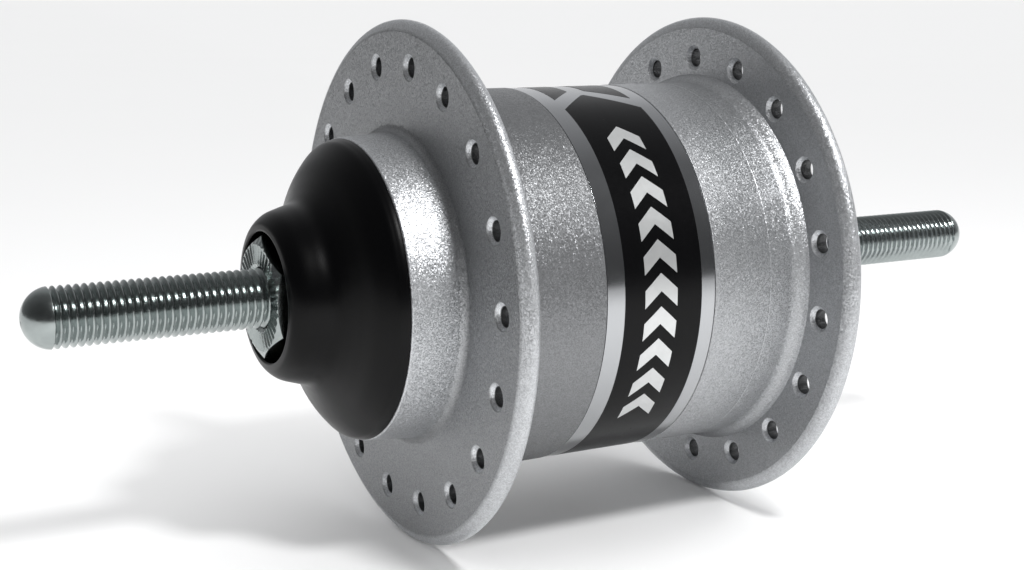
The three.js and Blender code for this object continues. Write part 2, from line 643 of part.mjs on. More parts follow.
// Turning at their own speeds.
place('ring_gear', makeRingGear(), HARD_STEEL);
place('planet_carrier', makePlanetCarrier(), STEEL);
for (let i = 0; i < PLANETS; i += 1) {
  const turn = (360 * i) / PLANETS;
  const [x, back] = polar(PLANET_CIRCLE_R, degrees(turn));
  const shift = [x, 0, -back];
  place(`planet_gear_${i + 1}`, makePlanetGear(), HARD_STEEL, { turn: 180 / PLANET_TEETH, shift });
  place(`planet_pin_${i + 1}`, makePlanetPin(), STEEL, { shift });
}
for (const [i, turn] of [0, 180].entries()) {
  for (const [kind, pawl] of [['high', HIGH_PAWL], ['low', LOW_PAWL]]) {
    const pin = rod(pawl.pin, pawl.pinFrom, pawl.pinTo, SMALL_PIN_SIDES).translate(pawl.pivot, 0, 0);
    place(`${kind}_pawl_${i + 1}`, makePawl(pawl), HARD_STEEL, { turn });
    place(`${kind}_pawl_pin_${i + 1}`, pin, STEEL, { turn });
    place(`${kind}_pawl_spring_${i + 1}`, makePawlSpring(pawl), STEEL, { turn });
  }
}
place('driver', makeDriver(), HARD_STEEL);
place('sprocket_snap_ring', makeSprocketRing(), STEEL);
place('driver_dust_cap', makeDriverDustCap(), BLACK_PLASTIC);
place('clutch', makeClutch(), HARD_STEEL);
place('left_bearing', makeCagedBalls(LEFT_RACE), STEEL);
place('right_bearing', makeCagedBalls(RIGHT_RACE), STEEL);
place('ball_ring_bearing', makeCagedBalls(BALL_RING_RACE), STEEL);

// Sliding along the axle to change gear.
place('selector_rod', makeSelectorRod(), STEEL);
place('axle_key', makeAxleKey(), HARD_STEEL);

export default hub;
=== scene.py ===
"""The looks of a bicycle hub gear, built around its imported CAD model.

Sizes are in millimetres and become metres as each mesh is made. The axle lies along Y, +Y is the left end.
An outline is a list of (radius, place along the axle).
"""
import json
import math
import bmesh
import bpy
from mathutils import Matrix, Vector


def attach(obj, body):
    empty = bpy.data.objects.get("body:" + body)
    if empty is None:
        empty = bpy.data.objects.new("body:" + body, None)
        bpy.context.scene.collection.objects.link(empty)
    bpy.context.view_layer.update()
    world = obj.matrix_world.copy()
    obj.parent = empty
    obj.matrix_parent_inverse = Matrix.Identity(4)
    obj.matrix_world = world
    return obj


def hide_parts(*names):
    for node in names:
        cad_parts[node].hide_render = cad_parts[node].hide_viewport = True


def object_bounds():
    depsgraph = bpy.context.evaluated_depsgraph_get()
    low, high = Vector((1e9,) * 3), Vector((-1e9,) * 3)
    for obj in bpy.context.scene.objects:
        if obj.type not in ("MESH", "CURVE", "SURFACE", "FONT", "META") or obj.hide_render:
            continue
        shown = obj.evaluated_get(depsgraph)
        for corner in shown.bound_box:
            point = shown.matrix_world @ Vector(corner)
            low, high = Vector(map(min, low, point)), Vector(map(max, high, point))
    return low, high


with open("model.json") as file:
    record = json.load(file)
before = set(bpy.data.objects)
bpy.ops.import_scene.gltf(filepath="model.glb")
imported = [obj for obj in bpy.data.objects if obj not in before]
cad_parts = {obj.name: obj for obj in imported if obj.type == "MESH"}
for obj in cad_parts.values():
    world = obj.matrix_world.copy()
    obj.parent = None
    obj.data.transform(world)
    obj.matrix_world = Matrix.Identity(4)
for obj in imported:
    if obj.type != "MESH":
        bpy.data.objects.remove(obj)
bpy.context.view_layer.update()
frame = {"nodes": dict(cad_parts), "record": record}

MM = 0.001
TAU = 2 * math.pi

# ---------------------------------------------------------------- driving dimensions

# Axle, its thread and the locknuts.
AXLE_HALF = 97.0
AXLE_R = 5.0
AXLE_CORE_R = 5.5
AXLE_CORE_HALF = 36.0
THREAD_PITCH = 1.25
THREAD_DEPTH = 0.72
THREAD_GAP = 0.15
CREST_SHARE = 0.08
FLANK_SHARE = 0.84
ROOT_ROUNDING = 1.15
THREAD_RUNOUT = 0.6
DOME_TRIM = 0.3
AXLE_SIDES = 64
ROWS_PER_PITCH = 10
ROD_BORE_R = 1.9
ROD_BORE_TO = -10.0
KEY_SLOT_ALONG = (-17.6, -6.2)
KEY_SLOT_WIDTH = 3.4
LOCKNUT_FACE = 58.5
LOCKNUT_THICK = 6.0
LOCKNUT_FLATS = 18.0
SERRATIONS = 40
SERRATION_DEPTH = 0.26
POINTS_PER_SERRATION = 6
NUT_CHAMFER_DEG = 30

# Shell.
SHELL_SIDES = 288
HOLE_SIDES = 28
SPOKES_PER_FLANGE = 18
SPOKE_CIRCLE_R = 38.0
SPOKE_HOLE_R = 1.6
COUNTERSINK_R = 2.35
LEFT_FIRST_HOLE_DEG = 1.54
RIGHT_FIRST_HOLE_DEG = 11.54
FLANGE_R = 45.5
FLANGE_OUT = 33.0
FLANGE_THICK = 3.5
# The rim's edge: (depth below the rim, share of half the thickness).
RIM_EDGE = [
    (2.05, 1.0), (1.95, 0.99), (1.45, 0.88), (1.0, 0.76), (0.6, 0.61), (0.3, 0.44), (0.08, 0.23), (0.0, 0.0),
]
BARREL_R = 33.4
# The barrel's flare at a flange: (rise above the barrel, distance from the flange's face).
ROOT_FLARE = [
    (3.0, 0), (1.5, 0), (1.44, 0.12), (1.32, 0.6), (1.05, 1.2), (0.6, 1.75), (0.25, 2.3), (0.08, 3.1),
    (0, 4.5),
]
SEAM_Y = -22.2
SEAM_HALF = 0.15
BARREL_BORE_R = 30.0
LABEL_FROM = -10.6
LABEL_TO = 11.0
LABEL_SEAT_R = 33.0
BOSS_R = 25.9
BOSS_END = 42.4
SPIGOT_R = 24.1
SPIGOT_END = 44.0
CUP_SEAT_R = 20.2
CUP_SEAT_END = 34.7
WEB_R = 16.8
WEB_END = 32.0
RATCHET_SEAT_R = 22.7
RATCHET_SEAT_END = 26.5
BORE_CHAMFER = 2.5
BALL_RING_SEAT_R = 31.8
BALL_RING_SEAT_Y = -31.0

# Driver, its snap ring and cap, and the washers.
DRIVER_SEAT_R = 17.3
DRIVER_END = -50.0
DRIVER_BODY_R = 17.92
DRIVER_TUBE_R = 17.6
DRIVER_TUBE_END = -6.2
DRIVER_TUBE_BORE_R = 15.5
DRIVER_BODY_FROM = -22.0
DRIVER_BORE_R = 8.6
DRIVER_CAVITY_R = 14.0
DRIVER_CAVITY_FROM = -38.5
RACE_Y = -45.07
RACE_R = 12.58
RACE_WEB_R = 11.07
RACE_WEB_Y = -41.42
SHOULDER_R = 22.3
SHOULDER_Y = (-36.6, -40.0)
COLLAR_R = 20.5
COLLAR_END = -43.0
SNAP_GROOVE_R = 16.2
SNAP_GROOVE_Y = (-47.2, -48.6)
SNAP_RING_R = (16.3, 18.8)
SNAP_RING_Y = (-48.5, -47.3)
SNAP_RING_GAP = 3.2
CAP_SEAT_R = 14.5
CAP_R = 14.3
CAP_Y = (-49.9, -48.7)
ARM_SLOT_WIDTH = 5.9
ARM_SLOTS = 4
NOTCH_WIDTH = 4.0
NOTCHES = 3
NOTCH_FIRST_DEG = 30
WASHER_R = 8.5
LEFT_WASHER = (50.1, 52.4)
RIGHT_WASHER = (-52.4, -50.6)

# Edges of the CAD nodes that still show.
SHARP_DEG = 35
EDGE_BREAK = 0.12
WELD_GAP = 0.0005

# Label: places across it in mm along the axle, and angles up from level at -X over the top.
# The front is the side that faces the camera.
FOIL_R = 33.32
FOIL_MARGIN = 0.12
PRINT_SUNK = 0.02
PRINT_STEP_DEG = 1.5
INK_HEIGHT = 0.03
MOTIF_HEIGHT = 0.05
PANEL_LEFT = 7.5
PANEL_RIGHT = -7.75
PANEL_RIDGE = 0.75
STRIPE = 3.5
LEFT_SLOPE = 1.54
RIGHT_SLOPE = 1.29
LONG_PANELS = {"front": (-96, 76), "back": (110, 230)}
SHORT_PANELS = {"upper": (76, 110), "lower": (230, 264)}
SHORT_PANEL_GAP = 6.5
CHEVRON_ROWS = {"front": (-36.0, 10), "back": (132.0, 8)}
CHEVRON_LEFT = 3.6
CHEVRON_RIGHT = -2.8
CHEVRON_THICK = 5.2
CHEVRON_PITCH = 9.6
CHEVRON_SLOPE = 1.5

# Painted light and shade on the paint: gain of the base colour at places along the axle, and at distances from a
# spoke hole's centre line.
CURVE_TOP = 2.0
# Painted shadow darkens the left barrel (0.55) and both faces of the left flange (0.6). Painted highlights lighten
# the right flange (1.25), the left rim (1.3), the boss (1.4) and, a little, the right barrel (1.05 to 1.1).
PAINTED_LIGHT_ALONG_AXLE = [
    (-36.0, 1.25), (-29.75, 1.25), (-29.55, 1.05), (-29.0, 1.1), (-11.0, 1.05), (11.0, 0.55), (28.0, 0.55),
    (29.45, 0.6), (29.75, 1.3), (32.75, 1.3), (32.97, 0.6), (33.1, 0.6), (34.6, 1.4), (44.0, 1.4),
]
# Painted shade darkens the spoke holes' walls (0.16), and a painted highlight lightens their countersinks (1.25).
PAINTED_HOLE_SHADE_AND_HIGHLIGHT = [(0.0, 0.16), (1.66, 0.16), (1.72, 1.25), (2.25, 1.25), (2.4, 1.0), (4.0, 1.0)]

# Camera, in degrees, metres and millimetres of lens. It stands behind the hub (-X), to its left and a little above.
AZIMUTH = math.radians(-118.919)
ELEVATION = math.radians(10.323)
DISTANCE = 0.28789
PAN_RIGHT = -0.00896
PAN_UP = -0.00289
LENS = 55.07
SENSOR = 36.0

# Table and lights, in metres and watts. ROOM holds (place between the dark and the bright side, light).
FLOOR_GAP = 0.0001
TABLE_FRONT = 0.62
TABLE_BACK = 300.0
TABLE_WIDE = 150.0
BRIGHT_SIDE = (0.75, -0.6, 0.25)
ROOM = [(0.0, 0.05), (0.33, 0.08), (0.675, 0.18), (0.85, 0.4), (0.935, 0.52), (0.985, 0.75)]
TABLE_LIGHT = 2.6
TABLE_LIGHT_SPREAD_DEG = 150
KEY_PLACE = (-0.236, -0.015, 0.284)
KEY_SIZE = 0.06
KEY_POWER = 1.0
RIM_PLACE = (-0.16, -0.36, 0.22)
RIM_SIZE = 0.12
RIM_POWER = 0.25

# ---------------------------------------------------------------- mesh helpers


def at_angle(r, y, angle):
    """A point at a radius and a turn about +Y, in metres."""
    return (r * MM * math.cos(angle), y * MM, -r * MM * math.sin(angle))


def object_from(name, points, faces):
    """A new object in the scene from a list of points and a list of faces."""
    mesh = bpy.data.meshes.new(name)
    mesh.from_pydata(points, [], faces)
    mesh.validate()
    made = bpy.data.objects.new(name, mesh)
    bpy.context.scene.collection.objects.link(made)
    return made


def recalculate_outside(made):
    """Merges doubled points and turns every face outwards."""
    work = bmesh.new()
    work.from_mesh(made.data)
    bmesh.ops.remove_doubles(work, verts=work.verts, dist=1e-7)
    bmesh.ops.dissolve_degenerate(work, edges=work.edges, dist=1e-8)
    bmesh.ops.recalc_face_normals(work, faces=work.faces)
    work.to_mesh(made.data)
    work.free()


def shade(made, sharp_degrees=32):
    """Smooth shading that keeps flat faces flat and real corners sharp."""
    mesh = made.data
    mesh.polygons.foreach_set("use_smooth", [True] * len(mesh.polygons))
    mesh.set_sharp_from_angle(angle=math.radians(sharp_degrees))
    normals = made.modifiers.new("even_normals", "WEIGHTED_NORMAL")
    normals.keep_sharp = True
    normals.weight = 80


def settle(made):
    """Replaces a piece's mesh with the result of its modifiers."""
    graph = bpy.context.evaluated_depsgraph_get()
    result = bpy.data.meshes.new_from_object(made.evaluated_get(graph))
    made.modifiers.clear()
    made.data = result


def rounded(corners, steps=4):
    """An outline in (radius, y) from corners (radius, y) or (radius, y, fillet radius)."""
    outline = []
    count = len(corners)
    for i, corner in enumerate(corners):
        here = Vector(corner[:2])
        fillet = corner[2] if len(corner) > 2 else 0
        before = Vector(corners[i - 1][:2]) - here
        after = Vector(corners[(i + 1) % count][:2]) - here
        if not fillet or before.length < 1e-6 or after.length < 1e-6:
            outline.append(tuple(here))
            continue
        half = before.angle(after) / 2
        reach = min(fillet / math.tan(half), 0.49 * before.length, 0.49 * after.length)
        radius = reach * math.tan(half)
        centre = here + (before.normalized() + after.normalized()).normalized() * (radius / math.sin(half))
        start = here + before.normalized() * reach - centre
        end = here + after.normalized() * reach - centre
        sweep = start.angle_signed(end)
        for k in range(steps + 1):
            turn = -sweep * k / steps
            c, s = math.cos(turn), math.sin(turn)
            outline.append((centre.x + start.x * c - start.y * s, centre.y + start.x * s + start.y * c))
    return outline


def flowing(points, steps=6):
    """A smooth curve through the given points (Catmull-Rom)."""
    path = [Vector(p) for p in points]
    path = [2 * path[0] - path[1], *path, 2 * path[-1] - path[-2]]
    curve = []
    for a, b, c, d in zip(path, path[1:], path[2:], path[3:]):
        for k in range(steps):
            t = k / steps
            curve.append(tuple(0.5 * (2 * b + (c - a) * t + (2 * a - 5 * b + 4 * c - d) * t ** 2
                                      + (3 * b - a - 3 * c + d) * t ** 3)))
    return curve + [tuple(points[-1])]


def loft(name, rings, closed=True):
    """A skin over rings of points. A closed loft joins its last ring to its first."""
    count = len(rings[0])
    points = [p for ring in rings for p in ring]
    faces = []
    for i in range(len(rings) if closed else len(rings) - 1):
        a, b = i * count, ((i + 1) % len(rings)) * count
        for j in range(count):
            k = (j + 1) % count
            faces.append((a + j, a + k, b + k, b + j))
    if not closed:
        faces += [tuple(range(count)), tuple(range((len(rings) - 1) * count, len(rings) * count))]
    made = object_from(name, points, faces)
    recalculate_outside(made)
    return made


def turned(name, outline, sides=160):
    """A body turned about the axle, from a closed outline of (radius, y) points."""
    rings = [[at_angle(r, y, TAU * j / sides) for j in range(sides)] for r, y in outline]
    return loft(name, rings)


def box(name, radial, along, width):
    """A block reaching out from the axle along +X."""
    points = [(x * MM, y * MM, z * MM) for x in radial for y in along for z in (-width / 2, width / 2)]
    faces = [(0, 1, 3, 2), (4, 6, 7, 5), (0, 4, 5, 1), (2, 3, 7, 6), (0, 2, 6, 4), (1, 5, 7, 3)]
    made = object_from(name, points, faces)
    recalculate_outside(made)
    return made


def cut(made, cutter):
    """Takes the cutter out of a piece."""
    knife = made.modifiers.new("cut", "BOOLEAN")
    knife.operation = "DIFFERENCE"
    knife.solver = "MANIFOLD"
    knife.object = cutter
    settle(made)
    bpy.data.objects.remove(cutter)


def joined(objects):
    """One object from several, by putting their meshes side by side."""
    points, faces = [], []
    for each in objects:
        base = len(points)
        points += [tuple(each.matrix_world @ v.co) for v in each.data.vertices]
        faces += [tuple(base + v for v in p.vertices) for p in each.data.polygons]
        bpy.data.objects.remove(each)
    return object_from("cutter", points, faces)


def turn_about_axle(made, degrees):
    """Turns a piece's mesh about the axle."""
    made.data.transform(Matrix.Rotation(math.radians(degrees), 4, "Y"))
    return made


# ---------------------------------------------------------------- materials


class Surface:
    """A procedural material: a Principled shader and the textures that feed it."""

    def __init__(self, name, color, metallic, roughness, **sockets):
        self.material = bpy.data.materials.new(name)
        self.material.use_nodes = True
        self.tree = self.material.node_tree
        self.shader = self.tree.nodes["Principled BSDF"]
        self.shader.inputs["Base Color"].default_value = (*color, 1)
        self.shader.inputs["Metallic"].default_value = metallic
        self.shader.inputs["Roughness"].default_value = roughness
        for socket, value in sockets.items():
            self.shader.inputs[socket.replace("_", " ")].default_value = value
        self.place = self.tree.nodes.new("ShaderNodeTexCoord").outputs["Object"]
        self.color = color
        self.bumps = None

    def link(self, start, end):
        self.tree.links.new(start, end)

    def stretched(self, scale):
        """Object coordinates scaled by a different factor along each axis."""
        mapping = self.tree.nodes.new("ShaderNodeMapping")
        mapping.inputs["Scale"].default_value = scale
        self.link(self.place, mapping.inputs["Vector"])
        return mapping.outputs["Vector"]

    def noise(self, size_mm, detail=2.0, stretch=None):
        """Smooth noise whose features are about this many millimetres across."""
        node = self.tree.nodes.new("ShaderNodeTexNoise")
        node.inputs["Scale"].default_value = 1 / (size_mm * MM)
        node.inputs["Detail"].default_value = detail
        self.link(self.stretched(stretch) if stretch else self.place, node.inputs["Vector"])
        return node.outputs["Fac"]

    def cells(self, size_mm):
        """A random colour in each small cell."""
        node = self.tree.nodes.new("ShaderNodeTexVoronoi")
        node.inputs["Scale"].default_value = 1 / (size_mm * MM)
        self.link(self.place, node.inputs["Vector"])
        return node.outputs["Color"]

    def grains(self, size_mm):
        """A random number in each small cell."""
        split = self.tree.nodes.new("ShaderNodeSeparateColor")
        self.link(self.cells(size_mm), split.inputs["Color"])
        return split.outputs[0]

    def ramp(self, value, low, high):
        """A number from 0 to 1 brought between two others."""
        node = self.tree.nodes.new("ShaderNodeMapRange")
        node.inputs["To Min"].default_value = low
        node.inputs["To Max"].default_value = high
        self.link(value, node.inputs["Value"])
        return node.outputs["Result"]

    def vary_roughness(self, value, low, high):
        self.link(self.ramp(value, low, high), self.shader.inputs["Roughness"])

    def vary_color(self, value, dark, light):
        """Mixes the base colour between a darker and a lighter tone of itself."""
        node = self.tree.nodes.new("ShaderNodeMix")
        node.data_type = "RGBA"
        node.inputs["A"].default_value = (*[c * dark for c in self.color], 1)
        node.inputs["B"].default_value = (*[min(1, c * light) for c in self.color], 1)
        self.link(value, node.inputs["Factor"])
        self.link(node.outputs["Result"], self.shader.inputs["Base Color"])

    def flakes(self, size_mm, tilt):
        """Small facets, each tilted its own way, such as metal flakes in paint."""
        level = self.vector_math("SUBTRACT", self.cells(size_mm), (0.5, 0.5, 0.5))
        scaled = self.vector_math("SCALE", level, None)
        scaled.node.inputs["Scale"].default_value = tilt
        smooth = self.bumps or self.tree.nodes.new("ShaderNodeNewGeometry").outputs["Normal"]
        summed = self.vector_math("ADD", scaled, smooth)
        self.bumps = self.vector_math("NORMALIZE", summed, None)
        self.link(self.bumps, self.shader.inputs["Normal"])

    def vector_math(self, operation, first, second):
        node = self.tree.nodes.new("ShaderNodeVectorMath")
        node.operation = operation
        self.link(first, node.inputs[0])
        if isinstance(second, tuple):
            node.inputs[1].default_value = second
        elif second:
            self.link(second, node.inputs[1])
        return node.outputs["Vector"]

    def math(self, operation, first, second=None):
        """A number worked out from one or two sockets or plain numbers."""
        node = self.tree.nodes.new("ShaderNodeMath")
        node.operation = operation
        for socket, value in zip(node.inputs, (first, second)):
            if isinstance(value, (int, float)):
                socket.default_value = value
            elif value:
                self.link(value, socket)
        return node.outputs["Value"]

    def curve(self, value, stops):
        """A number that runs between (value, result) stops."""
        low, high = stops[0][0], stops[-1][0]
        scaled = self.tree.nodes.new("ShaderNodeMapRange")
        scaled.inputs["From Min"].default_value = low
        scaled.inputs["From Max"].default_value = high
        self.link(value, scaled.inputs["Value"])
        node = self.tree.nodes.new("ShaderNodeFloatCurve")
        points = node.mapping.curves[0].points
        while len(points) < len(stops):
            points.new(0.5, 0.5)
        for point, (at, result) in zip(points, stops):
            point.location = ((at - low) / (high - low), result / CURVE_TOP)
            point.handle_type = "VECTOR"
        node.mapping.update()
        self.link(scaled.outputs["Result"], node.inputs["Value"])
        return self.math("MULTIPLY", node.outputs["Value"], CURVE_TOP)

    def tone(self, gain):
        """Multiplies the base colour by a number."""
        socket = self.shader.inputs["Base Color"]
        brighter = self.vector_math("SCALE", socket.links[0].from_socket, None)
        self.link(gain, brighter.node.inputs["Scale"])
        self.link(brighter, socket)

    def coordinates(self):
        """The three object coordinates, in metres."""
        split = self.tree.nodes.new("ShaderNodeSeparateXYZ")
        self.link(self.place, split.inputs["Vector"])
        return split.outputs

    def length(self, first, second):
        """The length of a vector with two parts."""
        squares = [self.math("MULTIPLY", part, part) for part in (first, second)]
        return self.math("SQRT", self.math("ADD", *squares))

    def along_axle(self):
        """Place along the axle, in millimetres."""
        return self.math("DIVIDE", self.coordinates()["Y"], MM)

    def from_spoke_hole(self):
        """Distance from the nearest spoke hole's centre line, in millimetres."""
        x, y, z = self.coordinates()
        back = self.math("MULTIPLY", x, -1.0)
        pitch = TAU / SPOKES_PER_FLANGE
        right_side = self.math("LESS_THAN", y, 0.0)
        shift = self.math("MULTIPLY", right_side, math.radians(RIGHT_FIRST_HOLE_DEG - LEFT_FIRST_HOLE_DEG))
        angle = self.math("SUBTRACT", self.math("ARCTAN2", z, back), shift)
        start = math.radians(LEFT_FIRST_HOLE_DEG) - pitch / 2
        nearest = self.math("FLOORED_MODULO", self.math("SUBTRACT", angle, start), pitch)
        radius = self.length(x, z)
        sideways = self.math("MULTIPLY", self.math("SUBTRACT", nearest, pitch / 2), radius)
        outwards = self.math("SUBTRACT", radius, SPOKE_CIRCLE_R * MM)
        return self.math("DIVIDE", self.length(sideways, outwards), MM)

    def bump(self, value, height_mm, strength=1.0):
        node = self.tree.nodes.new("ShaderNodeBump")
        node.inputs["Distance"].default_value = height_mm * MM
        node.inputs["Strength"].default_value = strength
        self.link(value, node.inputs["Height"])
        if self.bumps:
            self.link(self.bumps, node.inputs["Normal"])
        self.bumps = node.outputs["Normal"]
        self.link(self.bumps, self.shader.inputs["Normal"])


def silver_paint():
    """Sand-textured metallic paint over cast aluminium, with painted light and shade along the axle and at the
    spoke holes.
    """
    s = Surface("silver_sand_paint", (0.41, 0.418, 0.43), 0.94, 0.46)
    s.vary_color(s.grains(0.17), 0.82, 1.18)
    # Painted shadow and painted highlights along the axle, as gains of the base colour.
    s.tone(s.curve(s.along_axle(), PAINTED_LIGHT_ALONG_AXLE))
    # Painted shade in the spoke holes and a painted highlight on their countersinks.
    s.tone(s.curve(s.from_spoke_hole(), PAINTED_HOLE_SHADE_AND_HIGHLIGHT))
    s.vary_roughness(s.noise(1.4, 3), 0.44, 0.47)
    s.bump(s.noise(0.15, 2), 0.03, 0.4)
    s.flakes(0.16, 0.4)
    return s.material


def label_foil():
    """Bright aluminium foil with a slight waviness."""
    s = Surface("label_foil", (0.41, 0.418, 0.43), 1.0, 0.15)
    s.vary_roughness(s.noise(3, 3), 0.12, 0.19)
    s.bump(s.noise(2.5, 2, (1, 6, 1)), 0.01, 0.4)
    return s.material


def label_ink():
    """Black gloss ink of the label's panels."""
    s = Surface("label_ink", (0.002, 0.002, 0.0023), 0.0, 0.25, Specular_IOR_Level=0.13)
    s.vary_roughness(s.noise(0.8, 3), 0.2, 0.3)
    s.vary_color(s.noise(4, 3), 0.8, 1.3)
    return s.material


def label_motif():
    """Pale silver ink of the chevrons."""
    s = Surface("label_motif", (0.62, 0.63, 0.63), 0.75, 0.34)
    s.vary_roughness(s.noise(0.8, 3), 0.3, 0.4)
    s.vary_color(s.noise(2, 3), 0.9, 1.05)
    return s.material


def black_plastic():
    """Satin moulded plastic with a fine texture."""
    s = Surface("black_plastic", (0.0009, 0.0009, 0.0011), 0.0, 0.3, Specular_IOR_Level=0.16)
    s.vary_roughness(s.noise(1.5, 4), 0.27, 0.33)
    s.bump(s.noise(0.3, 2), 0.02, 0.3)
    s.vary_color(s.noise(5, 3), 0.85, 1.25)
    return s.material


def zinc_plate():
    """Bright zinc: slightly blue-green, with a fine orange-peel of plating."""
    s = Surface("zinc_plate", (0.37, 0.405, 0.4), 1.0, 0.2)
    s.vary_color(s.noise(1.2, 4), 0.84, 1.12)
    s.vary_roughness(s.noise(0.6, 3), 0.14, 0.27)
    s.bump(s.noise(0.5, 3), 0.02, 0.7)
    return s.material


def hard_steel():
    """Ground hardened steel, its marks drawn out along the axle's direction of turning."""
    s = Surface("hard_steel", (0.42, 0.43, 0.45), 1.0, 0.28)
    s.vary_color(s.noise(3, 4), 0.8, 1.15)
    s.vary_roughness(s.noise(0.9, 3, (1, 12, 1)), 0.22, 0.36)
    s.bump(s.noise(0.6, 2, (1, 16, 1)), 0.008, 0.5)
    return s.material


def bright_steel():
    """Bright drawn steel."""
    s = Surface("bright_steel", (0.64, 0.65, 0.67), 1.0, 0.2)
    s.vary_roughness(s.noise(0.7, 3), 0.15, 0.26)
    s.vary_color(s.noise(2.5, 3), 0.9, 1.08)
    s.bump(s.noise(0.6, 2, (1, 14, 1)), 0.006, 0.4)
    return s.material


def floor_paper():
    """White matt paper."""
    s = Surface("floor_paper", (0.86, 0.86, 0.86), 0.0, 0.75, Specular_IOR_Level=0.1)
    s.vary_roughness(s.noise(40, 3), 0.7, 0.8)
    s.vary_color(s.noise(250, 2), 0.99, 1.0)
    return s.material


MATERIALS = {
    "shell_paint": silver_paint(),
    "label_foil": label_foil(),
    "black_plastic": black_plastic(),
    "zinc_steel": zinc_plate(),
    "hard_steel": hard_steel(),
    "bright_steel": bright_steel(),
}
INK = label_ink()
MOTIF = label_motif()


def finish_piece(made, body, slot, replaces=(), material=None):
    """Gives a piece its material, its body and the CAD nodes that it stands for."""
    made.data.materials.clear()
    made.data.materials.append(material or MATERIALS[slot])
    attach(made, body)
    if replaces:
        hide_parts(*replaces)


# ---------------------------------------------------------------- shell


def flange_corners(sign):
    """A flange's rim, with a crease where its round edge starts. It runs towards +Y."""
    half = FLANGE_THICK / 2
    middle = sign * (FLANGE_OUT - half)
    edge = [(FLANGE_R - depth, half * part) for depth, part in RIM_EDGE]
    return [*[(r, middle - y) for r, y in edge], *[(r, middle + y) for r, y in reversed(edge[:-1])]]


def barrel_root(sign):
    """The flare where the barrel meets a flange, from the flange's face inwards along the axle."""
    face = FLANGE_OUT - FLANGE_THICK
    return [(BARREL_R + rise, sign * (face - back)) for rise, back in ROOT_FLARE]


def spoke_hole_cutter(flange_sign, first_degrees):
    """All the spoke holes of one flange as one cutter, countersunk on both faces."""
    middle = flange_sign * (FLANGE_OUT - FLANGE_THICK / 2)
    half = FLANGE_THICK / 2
    sink = COUNTERSINK_R - SPOKE_HOLE_R
    mouth = (COUNTERSINK_R + 0.1, half + 0.1)
    flare = [mouth, (SPOKE_HOLE_R + 0.12, half - sink + 0.12), (SPOKE_HOLE_R, half - sink - 0.15)]
    outline = [*[(r, -y) for r, y in flare], *reversed(flare)]
    rings = [[at_angle(r, y + middle, TAU * j / HOLE_SIDES) for j in range(HOLE_SIDES)] for r, y in outline]
    holes = []
    for i in range(SPOKES_PER_FLANGE):
        hole = loft("hole", rings, closed=False)
        hole.data.transform(Matrix.Translation((SPOKE_CIRCLE_R * MM, 0, 0)))
        holes.append(turn_about_axle(hole, 180 + first_degrees + 360 * i / SPOKES_PER_FLANGE))
    return joined(holes)


def make_shell():
    """The painted shell: two flanges, the barrel, and the boss and spigot on the left."""
    step = 0.12
    outline = [
        (BARREL_BORE_R, BALL_RING_SEAT_Y), (BALL_RING_SEAT_R, BALL_RING_SEAT_Y),
        (BALL_RING_SEAT_R, -FLANGE_OUT + 0.2), (BALL_RING_SEAT_R + 0.2, -FLANGE_OUT),
        *reversed([(r, -y) for r, y in flange_corners(1)]),
        *barrel_root(-1)[:-1],
        (BARREL_R + 0.03, SEAM_Y - SEAM_HALF), (BARREL_R - 0.05, SEAM_Y), (BARREL_R, SEAM_Y + SEAM_HALF),
        *rounded([(BARREL_R, LABEL_FROM - 3), (BARREL_R, LABEL_FROM, step), (LABEL_SEAT_R, LABEL_FROM, 0.05),
                  (LABEL_SEAT_R, LABEL_TO, 0.05), (BARREL_R, LABEL_TO, step), (BARREL_R, LABEL_TO + 3)]),
        *reversed(barrel_root(1)),
        *flange_corners(1),
        (BOSS_R + 3.6, FLANGE_OUT),
        *rounded([(BOSS_R + 3.5, FLANGE_OUT), (BOSS_R + 0.7, FLANGE_OUT, 1.9), (BOSS_R, BOSS_END, 0.35),
                  (SPIGOT_R, BOSS_END)], 6)[1:],
        (SPIGOT_R, SPIGOT_END), (CUP_SEAT_R, SPIGOT_END), (CUP_SEAT_R, CUP_SEAT_END), (WEB_R, CUP_SEAT_END),
        (WEB_R, WEB_END), (RATCHET_SEAT_R, WEB_END), (RATCHET_SEAT_R, RATCHET_SEAT_END),
        (BARREL_BORE_R - BORE_CHAMFER, RATCHET_SEAT_END), (BARREL_BORE_R, RATCHET_SEAT_END - BORE_CHAMFER),
    ]
    shell = turned("shell", outline, SHELL_SIDES)
    cut(shell, spoke_hole_cutter(1, LEFT_FIRST_HOLE_DEG))
    cut(shell, spoke_hole_cutter(-1, RIGHT_FIRST_HOLE_DEG))
    shade(shell, 40)
    finish_piece(shell, "shell", "shell_paint", ["hub_shell"])


def make_dust_cover():
    """The black cover: a bell that closes the boss, and a neck round the locknut."""
    outside = flowing([
        (25.76, 42.55), (25.5, 43.4), (24.8, 44.6), (22.2, 46.7), (19.3, 48.2), (17.1, 49.45),
        (15.6, 50.8), (14.88, 53.04), (14.04, 55.47), (12.67, 57.06), (11.3, 57.45),
    ])
    inside = [
        (11.05, 57.3), (11.0, 57.0), (11.1, 56.2), (12.9, 54.6), (13.6, 52), (14.4, 50.2), (16, 48.6),
        (18.2, 47.2), (21, 45.6), (22.4, SPIGOT_END + 0.15), (SPIGOT_R + 0.15, SPIGOT_END + 0.15),
        (SPIGOT_R + 0.15, 42.55),
    ]
    cover = turned("dust_cover", [*outside, *inside], 192)
    shade(cover, 50)
    finish_piece(cover, "shell", "black_plastic", ["left_dust_cover"])


# ---------------------------------------------------------------- label


def end_drop(y):
    """How far a panel's pointed end falls back at a place across the label, in degrees."""
    return (y - PANEL_RIDGE) * LEFT_SLOPE if y > PANEL_RIDGE else (PANEL_RIDGE - y) * RIGHT_SLOPE


